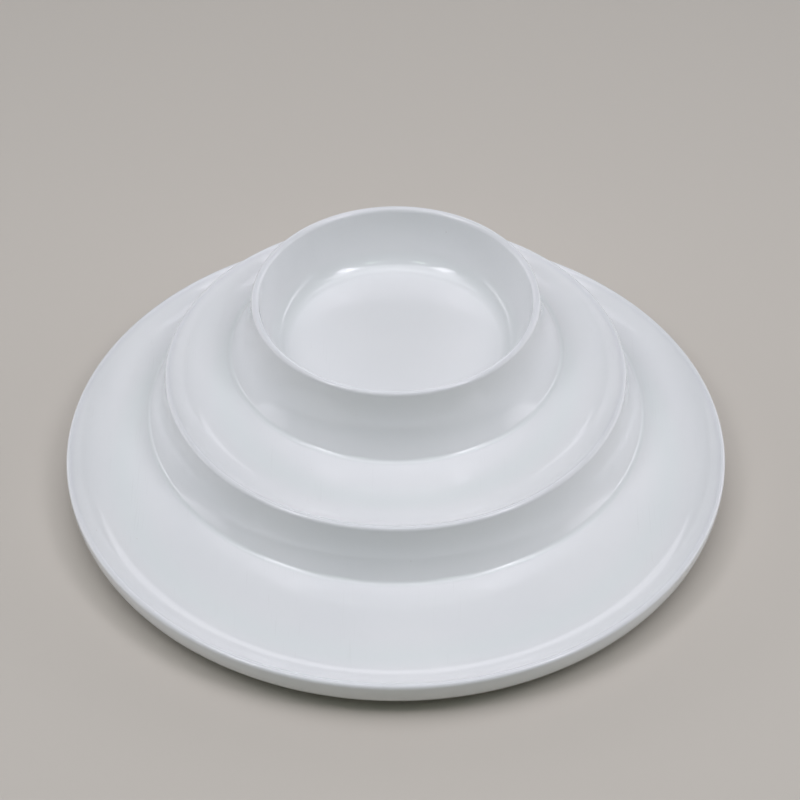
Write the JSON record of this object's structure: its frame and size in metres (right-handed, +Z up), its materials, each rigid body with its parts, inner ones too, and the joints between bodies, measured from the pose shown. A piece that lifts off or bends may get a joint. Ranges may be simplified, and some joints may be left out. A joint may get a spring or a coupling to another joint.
{
  "type": "stepped serving platter",
  "caption": "Round white porcelain serving platter with a smaller dish and a deep dip bowl standing off centre on it in steps, leaving crescent floors open at the front.",
  "frame": {"origin": "on the table, under the centre of the platter's round rim", "axes": "+Z up, +Y towards the back, where the smaller dishes stand, +X to the right seen from the front"},
  "size_m": [0.322, 0.322, 0.063],
  "materials": {
    "white_glaze": "clear gloss glaze over white porcelain",
    "bare_clay": "unglazed, matt"
  },
  "bodies": {
    "root": {"foot_ring": "bare_clay", "base_platter": "white_glaze", "middle_dish": "white_glaze", "lower_slip_fillet": "white_glaze", "top_bowl": "white_glaze", "upper_slip_fillet": "white_glaze"}
  },
  "joints": []
}
